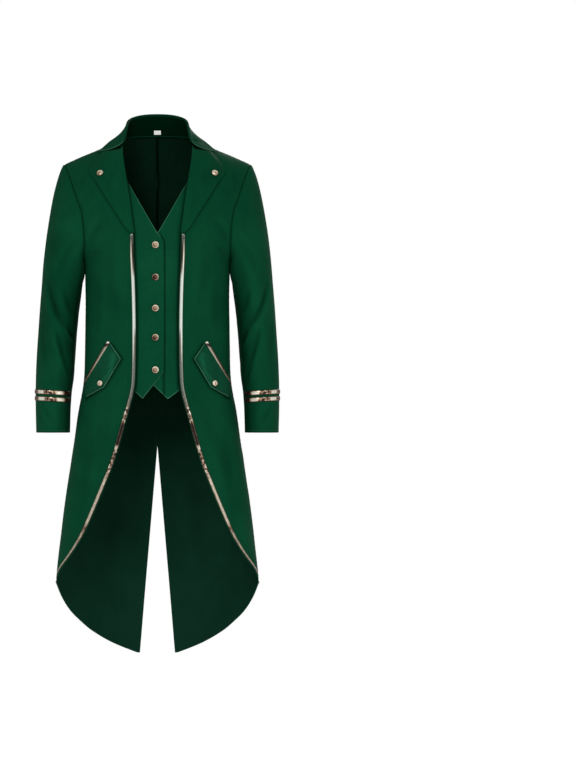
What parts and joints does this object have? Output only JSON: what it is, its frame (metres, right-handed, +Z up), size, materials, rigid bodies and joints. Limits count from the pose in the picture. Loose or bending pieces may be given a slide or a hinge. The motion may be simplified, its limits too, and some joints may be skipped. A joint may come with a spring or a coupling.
{
  "type": "tailcoat",
  "caption": "Long cutaway tailcoat with peaked lapels, turned-down collar, mock waistcoat front, metallic trim, slanted pocket flaps, half-belt and split tails, worn open and hollow.",
  "frame": {"origin": "nape: the centre-back point of the neck seam, where the collar stand begins", "axes": "+Z up, the front faces -Y, +X towards the wearer's left"},
  "size_m": [0.5848, 0.2753, 1.2871],
  "materials": {
    "cloth": "smooth matte suiting with a faint sheen",
    "trim": "metallic foil leatherette, antique silver and rose, rubbed to brown",
    "edging": "metallic foil leatherette, copper",
    "button": "antiqued copper with a paler rubbed rim",
    "label": "plain woven tape, blank"
  },
  "bodies": {
    "root": {"front_left": "cloth", "front_right": "cloth", "back_left": "cloth", "back_right": "cloth", "top_sleeve_left": "cloth", "top_sleeve_right": "cloth", "under_sleeve_left": "cloth", "under_sleeve_right": "cloth", "lapel_left": "cloth", "lapel_right": "cloth", "flap_left": "cloth", "flap_right": "cloth", "vest_left": "cloth", "vest_right": "cloth", "collar_stand": "cloth", "collar_leaf": "cloth", "back_tab": "cloth", "trim_front_left": "trim", "trim_front_right": "trim", "flap_trim_left": "trim", "flap_trim_right": "trim", "cuff_band_1_left": "trim", "cuff_band_1_right": "trim", "cuff_band_2_left": "trim", "cuff_band_2_right": "trim", "vent_cap": "trim", "trim_hem_left": "edging", "trim_hem_right": "edging", "trim_vent_left": "edging", "trim_vent_right": "edging", "lapel_button_left": "button", "lapel_button_right": "button", "flap_button_left": "button", "flap_button_right": "button", "tab_button_left": "button", "tab_button_right": "button", "cuff_button_1_left": "button", "cuff_button_1_right": "button", "cuff_button_2_left": "button", "cuff_button_2_right": "button", "cuff_button_3_left": "button", "cuff_button_3_right": "button", "vest_button_1": "button", "vest_button_2": "button", "vest_button_3": "button", "vest_button_4": "button", "vest_button_5": "button", "label": "label"}
  },
  "joints": []
}
